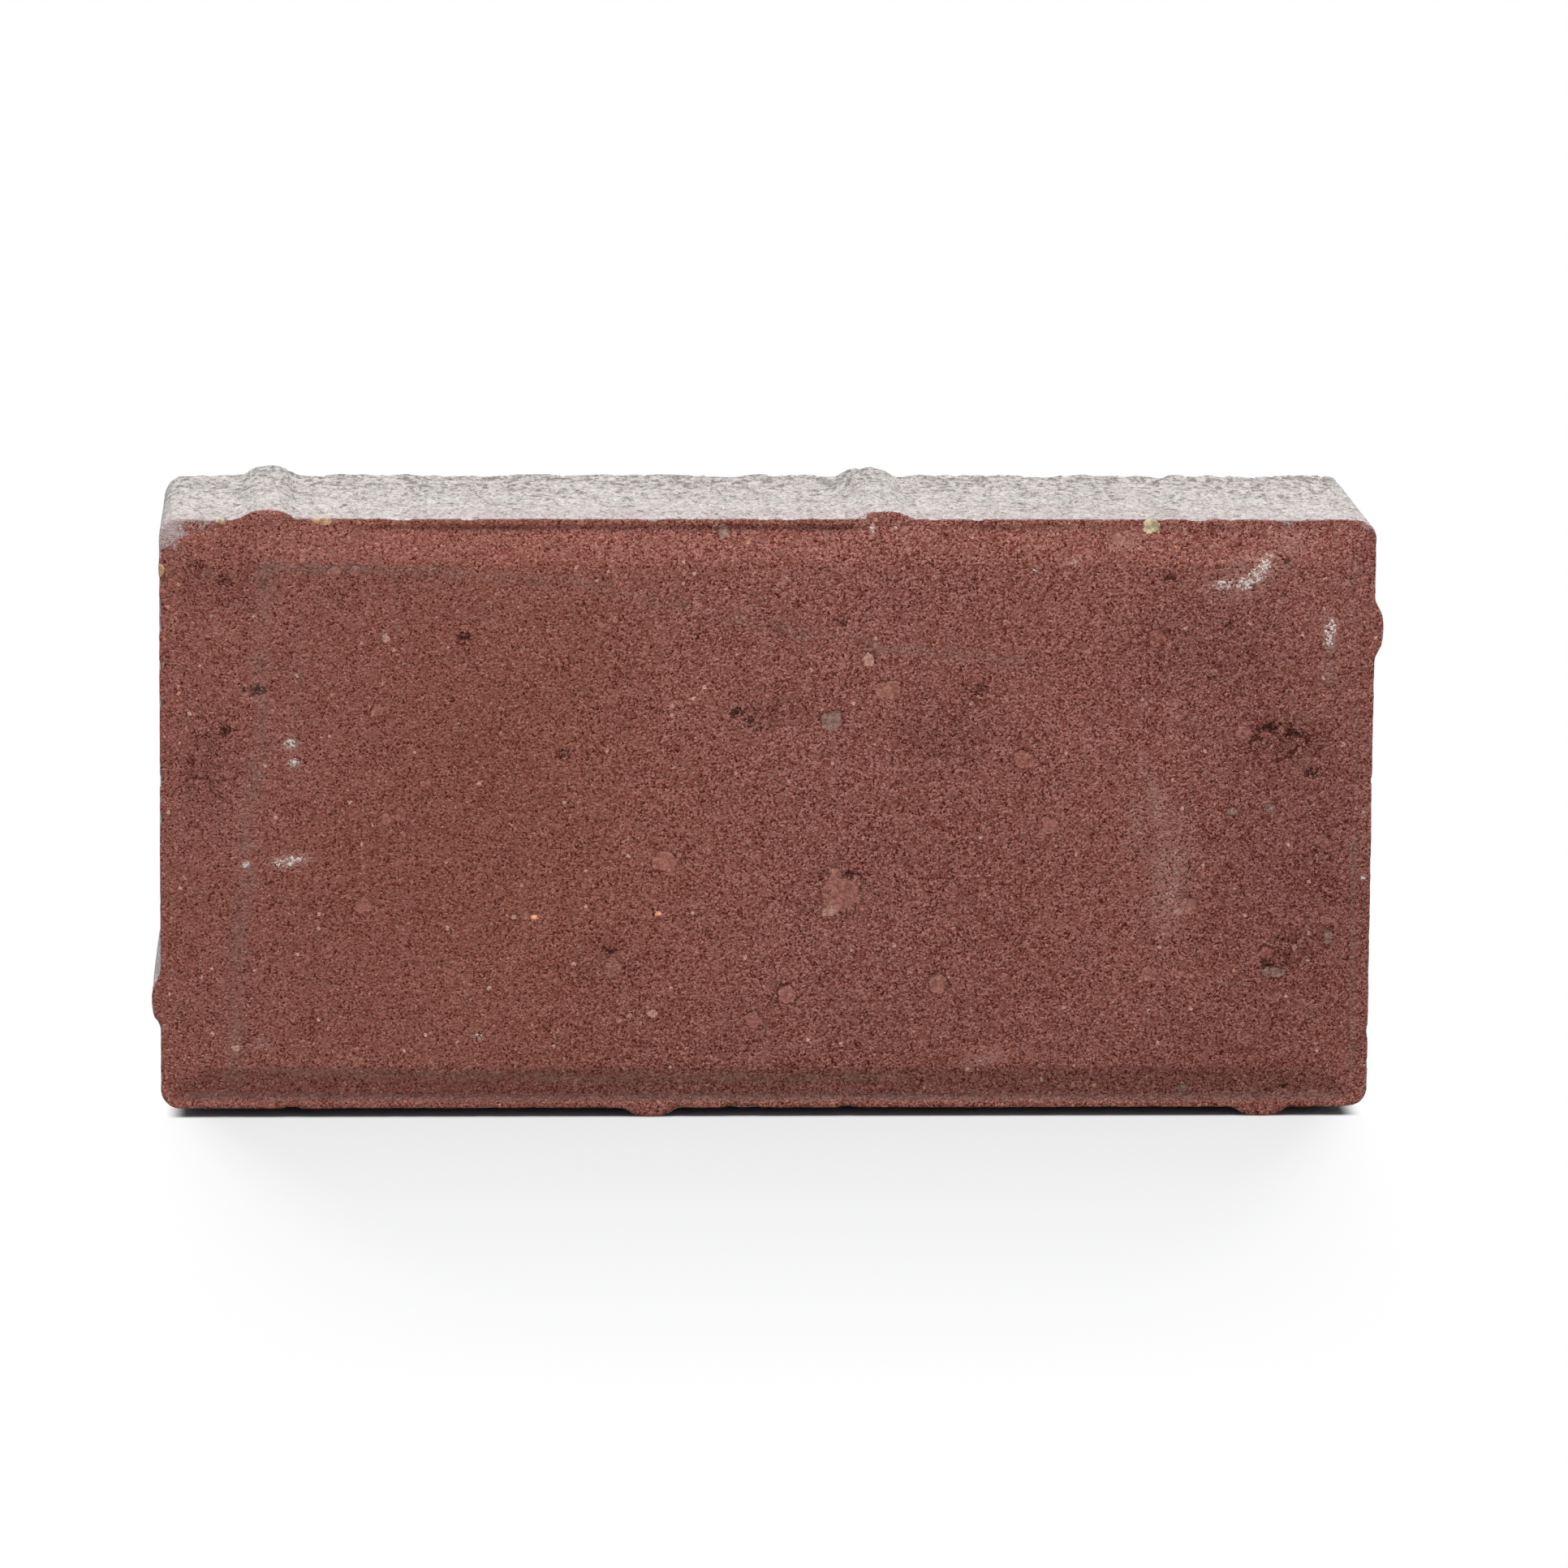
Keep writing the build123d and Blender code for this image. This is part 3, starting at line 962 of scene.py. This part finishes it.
def painted_hole_shade(sheet, wobble, colour):
    """Painted shade on the floor of the open holes, and in the cracks round them and in the looser
    patches.
    """
    off_middle = sheet.math("ABSOLUTE", sheet.math("SUBTRACT", wobble, 0.5))
    crack = sheet.ramp(off_middle, 0.008, 0.050, 1.0, 0.0)
    inside = sheet.value_of("hole")
    loose = sheet.times(sheet.value_of("open"), 0.45)
    cracked = sheet.times(crack, sheet.most(sheet.ramp(inside, 0.15, 0.35), loose))
    hole = sheet.most(cracked, sheet.ramp(inside, 0.62, 0.85))
    # Painted shade: the hole floors and cracks darkened to a near-black red
    return sheet.mix(sheet.times(hole, 0.75), colour, HOLE_SHADE), hole


def film_and_chalk(sheet, settings, place, shade, crevice, colour):
    """Dried cement film, then a chalk haze with powder that takes to single grains."""
    amount = sheet.value_of("film")
    broken = sheet.noise(place, 0.35, detail=3.0, roughness=0.7)
    film = sheet.ramp(sheet.line(amount, 0.55, broken), 0.54, 1.10)
    film = sheet.times(film, sheet.ramp(amount, 0.0, 0.12))
    colour = sheet.mix(sheet.times(film, 0.31), colour, settings.cement_film)
    chalk = sheet.value_of("chalk")
    haze = sheet.times(chalk, sheet.ramp(crevice, 0.1, 0.9, 0.55, 0.0))
    colour = sheet.mix(haze, colour, CHALK_HAZE)
    specks = sheet.math("SUBTRACT", sheet.line(chalk, 1.1, -0.40), shade[1])
    powder = sheet.times(sheet.ramp(specks, 0.0, 0.12), sheet.ramp(crevice, 0.2, 0.9, 0.9, 0.3))
    return sheet.mix(powder, colour, settings.chalk)


def red_face_material(settings, groups):
    """Wearing face: the red mix with its grit, pebbles, holes, cement film and chalk."""
    material, sheet, shader = new_material("red_face")
    place = millimetre_place(sheet)
    grain = packed_grain(sheet, groups, place, FACE_GRAINS, sheet.value_of("open"))
    shade = sheet.parts(grain["Shade"])
    wobble = sheet.noise(place, 0.55, detail=3.0, roughness=0.65)

    colour = grained_red(sheet, settings, grain, shade)
    colour, chip, lump, seam = coarse_grit(sheet, place, grain, colour)
    colour, body = set_pebbles(sheet, place, shade, chip, wobble, colour)
    colour, crevice = painted_crevice_shade(sheet, grain, body, lump, seam, colour)
    colour, hole = painted_hole_shade(sheet, wobble, colour)
    colour = film_and_chalk(sheet, settings, place, shade, crevice, colour)

    border = sheet.times(pale_border(sheet, groups, place), 0.7)
    colour = sheet.mix(border, colour, settings.pale_pink)
    height = sheet.line(grain["Height"], sheet.less(body), sheet.times(hole, -1.5))
    finish_concrete(sheet, shader, settings, colour, height)
    return material


def pale_side_material(settings, groups):
    """Sides and bedding face: a pale cement skin, pink beside the face and grey behind, with pores, and
    painted shade in the pores and crevices.
    """
    material, sheet, shader = new_material("pale_side")
    place = millimetre_place(sheet)
    skin = sheet.mix(sheet.value_of("drift"), settings.pale_pink, settings.grey_mix)
    skin = sheet.shaded(skin, sheet.value_of("tone_and_shade"))
    dragged = sheet.add("ShaderNodeVectorMath", {0: place, 1: SIDE_DRAG}, operation="MULTIPLY").outputs[0]
    grain = packed_grain(sheet, groups, dragged, SIDE_GRAINS, SIDE_OPENNESS)
    skin = sheet.shaded(skin, sheet.ramp(sheet.parts(grain["Shade"])[0], 0.0, 1.0, 0.80, 1.14))
    # Painted shade in the crevices between the grains
    skin = sheet.mix(sheet.times(grain["Crevice"], 0.62), skin, settings.pore_shade_grey)

    # Pores, more of them towards the bedding face, painted dark as shade inside
    pores = sheet.noise(dragged, 0.66, detail=4.0, roughness=0.80)
    level = sheet.math("SUBTRACT", pores, sheet.times(sheet.value_of("open"), 0.12))
    pore = sheet.ramp(level, 0.22, 0.42, 1.0, 0.0)
    skin = sheet.mix(sheet.times(pore, 0.85), skin, settings.pore_shade_grey)

    skin = sheet.mix(pale_border(sheet, groups, place), settings.purple_mix, skin)
    finish_concrete(sheet, shader, settings, skin, sheet.line(pore, -0.8, grain["Height"]))
    return material


def stone_materials(settings):
    """Materials of the stone, with the shader groups that they share."""
    groups = {"grain": grain_group(), "border": border_group()}
    return red_face_material(settings, groups), pale_side_material(settings, groups)


def link_new(context, name, data):
    """New object in the scene."""
    made = bpy.data.objects.new(name, data)
    context.scene.collection.objects.link(made)
    return made


class PAVING_OT_press_stone(bpy.types.Operator):
    """Press the block with its rim, bevel and nibs, wear it and give it its material"""

    bl_idname = "paving.press_stone"
    bl_label = "Press Stone"

    def execute(self, context):
        sizes = context.scene.mould_sizes
        settings = context.scene.surface_settings
        mould = Mould(sizes)
        mesh = bpy.data.meshes.new(PIECE)
        bm = bmesh.new()
        sharp_block(bm, mould, sizes)
        bm.to_mesh(mesh)
        bm.free()

        block = read(mesh.vertices, "co", 3).reshape(-1, 3).astype(float)
        points, front, inset = pressed_places(mould, block)
        write(mesh.vertices, "co", points)
        mesh.update()
        normals = read(mesh.vertex_normals, "vector", 3).reshape(-1, 3)
        marks, tint = mark_amounts(mould, block, front, inset)
        worn = worn_depths(mould, settings, block, points, front, inset, marks)
        points = points - normals * worn[:, None] + np.array(mould.middle)
        write(mesh.vertices, "co", points)
        mesh.shade_smooth()
        mesh.update()

        for name, values in marks.items():
            write(mesh.attributes.new(name, "FLOAT", "POINT").data, "value", values)
        write(mesh.attributes.new("pebble_tint", "FLOAT_COLOR", "POINT").data, "color", tint)
        for material in stone_materials(settings):
            mesh.materials.append(material)
        corners = read(mesh.loops, "vertex_index", 1, np.int32)
        starts = read(mesh.polygons, "loop_start", 1, np.int32)
        on_face = np.minimum.reduceat(front[corners].astype(int), starts)
        write(mesh.polygons, "material_index", 1 - on_face, np.int32)

        stone = link_new(context, PIECE, mesh)
        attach(stone, "root")
        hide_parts(SOLID)
        return {"FINISHED"}


def seen_directly(sheet):
    """1 for the rays that see the surround as a background."""
    rays = sheet.add("ShaderNodeLightPath").outputs
    seen = sheet.most(rays["Is Camera Ray"], rays["Is Glossy Ray"])
    return sheet.most(seen, rays["Is Transmission Ray"])


def floor_material(settings):
    """Floor that looks white to the camera and keeps the stone's shadow in front of it."""
    material, sheet, shader = new_material("pale_floor")
    shader.inputs["Base Color"].default_value = solid_colour(settings.floor_colour)
    shader.inputs["Roughness"].default_value = 0.9
    shader.inputs["Specular IOR Level"].default_value = 0.1
    white = sheet.add("ShaderNodeEmission", {"Strength": 1.0})
    parts = sheet.add("ShaderNodeSeparateXYZ", {0: millimetre_place(sheet)}).outputs
    ahead = sheet.math("SUBTRACT", LOWEST.y / MM, parts[1])
    beside = sheet.math("SUBTRACT", sheet.math("ABSOLUTE", parts[0]), HIGHEST.x / MM)

    # In front, the floor's own grey shows through and fades with the distance
    away = sheet.math("MINIMUM", sheet.most(ahead, 0.0), GREY_REACH_MM)
    between = sheet.ramp(beside, sheet.line(away, -0.35, -14.0), 0.0, 1.0, 0.0)
    fading = sheet.line(away, -GREY_DEPTH / GREY_REACH_MM, GREY_DEPTH)
    before = sheet.less(sheet.times(fading, between))

    # Under the stone it shows in full, and beside and behind it is white
    behind = sheet.ramp(ahead, -62.0, -60.0, 1.0, 0.0)
    below = sheet.most(sheet.ramp(beside, -6.0, -2.0), behind)
    shares = sheet.ramp(ahead, -3.2, -0.8)
    cover = sheet.line(sheet.math("SUBTRACT", before, below), shares, below)
    shown = sheet.add("ShaderNodeMixShader", {
        0: sheet.times(seen_directly(sheet), cover), 1: shader.outputs[0], 2: white.outputs[0]})
    sheet.wire(shown.outputs[0], sheet.tree.nodes["Material Output"].inputs[0])
    return material


def white_world(settings):
    """Even sky that looks white to the camera."""
    world = bpy.data.worlds.new("white_surround")
    world.use_nodes = True
    sheet = NodeSheet(world.node_tree)
    strength = sheet.ramp(seen_directly(sheet), 0.0, 1.0, settings.sky_strength, 1.0)
    background = world.node_tree.nodes["Background"]
    background.inputs["Color"].default_value = (1.0, 1.0, 1.0, 1.0)
    sheet.wire(strength, background.inputs["Strength"])
    return world


class PAVING_OT_stage(bpy.types.Operator):
    """Lay the floor and place the lamp, the surround and the camera"""

    bl_idname = "paving.stage"
    bl_label = "Set Stage"

    def execute(self, context):
        settings = context.scene.stage_settings
        self.lay_floor(context, settings)
        context.scene.world = white_world(settings)
        self.hang_lamp(context, settings)
        self.place_camera(context, settings)
        context.scene.view_settings.view_transform = "Standard"
        return {"FINISHED"}

    def lay_floor(self, context, settings):
        """Level floor under the stone."""
        mesh = bpy.data.meshes.new("floor")
        bm = bmesh.new()
        bmesh.ops.create_grid(bm, x_segments=1, y_segments=1, size=settings.floor_size / 2)
        bm.to_mesh(mesh)
        bm.free()
        mesh.materials.append(floor_material(settings))
        floor = link_new(context, "floor", mesh)

    def hang_lamp(self, context, settings):
        """Soft sun from above, in front of the stone."""
        lamp = bpy.data.lights.new("overhead_lamp", "SUN")
        lamp.energy = settings.lamp_strength
        lamp.angle = settings.lamp_spread
        hung = link_new(context, "overhead_lamp", lamp)
        hung.rotation_euler = (math.pi / 2 - settings.lamp_elevation, 0.0, 0.0)

    def place_camera(self, context, settings):
        """Camera that looks down a little on the face."""
        camera = link_new(context, "camera", bpy.data.cameras.new("camera"))
        camera.data.lens = settings.lens
        camera.data.sensor_width = 36.0
        camera.data.clip_end = 50.0
        face = Vector((0.0, LOWEST.y, (LOWEST.z + HIGHEST.z) / 2))
        turned = Euler((math.pi / 2 - settings.elevation, 0.0, -settings.azimuth)).to_matrix()
        turned = turned @ Matrix.Rotation(settings.roll, 3, "Z")
        camera.location = face + turned @ Vector((settings.aim_right, settings.aim_up, settings.distance))
        camera.rotation_euler = turned.to_euler()
        context.scene.camera = camera


class PAVING_PT_sidebar(bpy.types.Panel):
    """Sidebar panel with the settings and the two steps."""

    bl_idname = "PAVING_PT_sidebar"
    bl_label = "Paving Stone"
    bl_space_type = "VIEW_3D"
    bl_region_type = "UI"
    bl_category = "Paving Stone"

    def draw(self, context):
        """Lists the settings and the two operators."""
        groups = (context.scene.mould_sizes, context.scene.surface_settings, context.scene.stage_settings)
        for group, title in zip(groups, ("Mould", "Surface", "Stage")):
            box = self.layout.box()
            box.label(text=title)
            for name in group.__annotations__:
                box.prop(group, name)
        self.layout.operator(PAVING_OT_press_stone.bl_idname)
        self.layout.operator(PAVING_OT_stage.bl_idname)


CLASSES = (MouldSizes, SurfaceSettings, StageSettings,
           PAVING_OT_press_stone, PAVING_OT_stage, PAVING_PT_sidebar)


def register():
    """Adds the classes and their settings to the scene."""
    for entry in CLASSES:
        bpy.utils.register_class(entry)
    bpy.types.Scene.mould_sizes = PointerProperty(type=MouldSizes)
    bpy.types.Scene.surface_settings = PointerProperty(type=SurfaceSettings)
    bpy.types.Scene.stage_settings = PointerProperty(type=StageSettings)


def unregister():
    """Takes the settings and the classes away again."""
    del bpy.types.Scene.stage_settings
    del bpy.types.Scene.surface_settings
    del bpy.types.Scene.mould_sizes
    for entry in reversed(CLASSES):
        bpy.utils.unregister_class(entry)


def main():
    """Builds the stone and its stage."""
    register()
    bpy.ops.paving.press_stone()
    bpy.ops.paving.stage()


if __name__ == "__main__":
    main()
